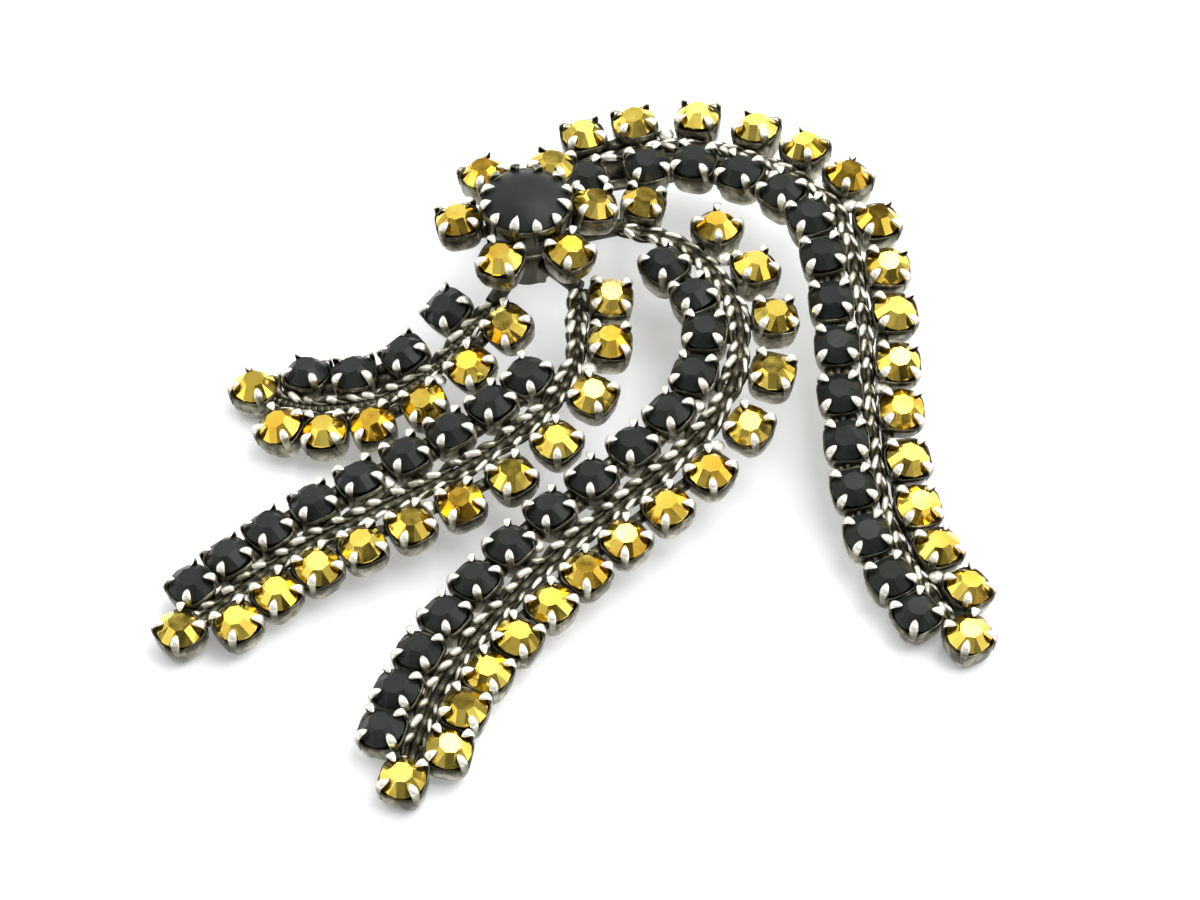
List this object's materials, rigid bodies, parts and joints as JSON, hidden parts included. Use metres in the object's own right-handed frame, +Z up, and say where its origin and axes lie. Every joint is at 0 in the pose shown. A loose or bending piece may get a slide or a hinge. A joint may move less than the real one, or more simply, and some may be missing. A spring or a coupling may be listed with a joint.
{
  "type": "flower brooch",
  "caption": "Flower brooch that lies on a surface: a flower of claw-set stones with four curved streamers of gold and black stones beside a beaded spine.",
  "frame": {"origin": "middle of the brooch's bounding box, on the surface that it lies on", "axes": "+Z up from the surface to the front of the brooch, +X to its right seen from the front, +Y away from the viewer, towards the flower's end"},
  "size_m": [0.0766, 0.0799, 0.017],
  "materials": {
    "silver_metal": "antiqued, bright on the claws and dark in the grooves",
    "gold_stone": "metallic gold coating on cut facets, opaque",
    "black_stone": "satin black, opaque"
  },
  "bodies": {
    "root": {"flower_setting": "silver_metal", "centre_stone": "black_stone", "petal_stones": "gold_stone", "arch_setting": "silver_metal", "arch_gold_stones": "gold_stone", "arch_black_stones": "black_stone", "sweep_setting": "silver_metal", "sweep_gold_stones": "gold_stone", "sweep_black_stones": "black_stone", "middle_setting": "silver_metal", "middle_gold_stones": "gold_stone", "middle_black_stones": "black_stone", "short_setting": "silver_metal", "short_gold_stones": "gold_stone", "short_black_stones": "black_stone", "pin_back": "silver_metal"}
  },
  "joints": []
}
